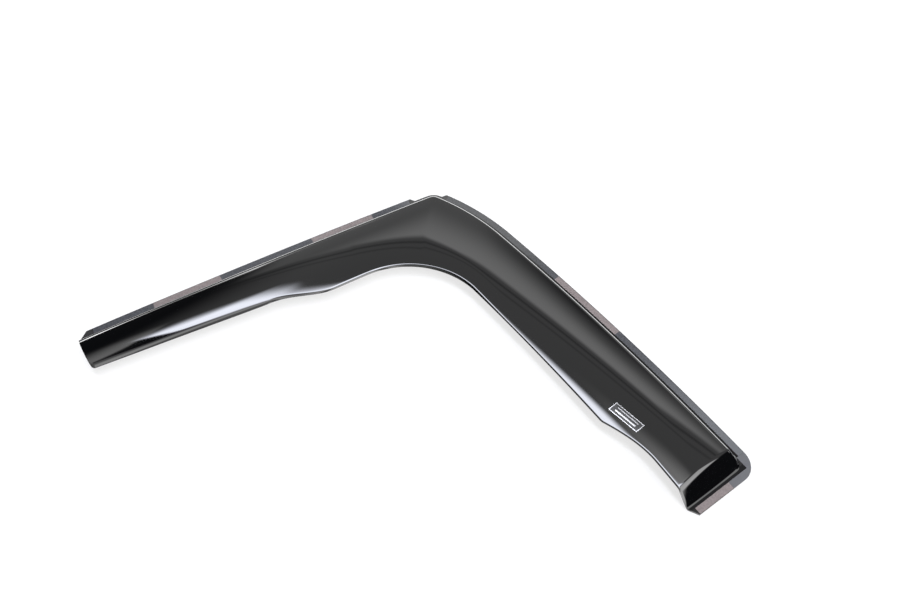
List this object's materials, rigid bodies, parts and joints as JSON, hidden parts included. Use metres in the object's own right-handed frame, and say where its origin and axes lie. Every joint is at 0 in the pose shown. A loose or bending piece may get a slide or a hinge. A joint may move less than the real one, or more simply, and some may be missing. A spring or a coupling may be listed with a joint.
{
  "type": "window rain deflector",
  "caption": "L-shaped smoked side-window rain deflector: taped flat flange, step wall and crowned panel with a curled free edge, closed at the end of its roof arm.",
  "frame": {"origin": "middle of the part's outline, on the plane of the tapes' undersides, where the part meets the door", "axes": "+X along the roof arm to its closed end, +Y up to the roof, +Z out of the door, from the tapes to the crowned face; the pillar arm runs down towards -Y"},
  "size_m": [0.6962, 0.5508, 0.0219],
  "materials": {
    "smoked_acrylic": "smoked transparent acrylic, polished, dark grey to black",
    "adhesive": "acrylic foam tape",
    "liner": "thin polyethylene release film, red",
    "foam": "closed-cell foam, grey"
  },
  "bodies": {
    "root": {"visor_shell": "smoked_acrylic", "adhesive_pad_1": "adhesive", "adhesive_pad_2": "adhesive", "adhesive_pad_3": "adhesive", "adhesive_pad_4": "adhesive", "release_liner_1": "liner", "release_liner_2": "liner", "release_liner_3": "liner", "release_liner_4": "liner", "foam_strip_1": "foam", "foam_strip_2": "foam", "foam_strip_3": "foam", "foam_strip_4": "foam", "foam_strip_5": "foam"}
  },
  "joints": []
}
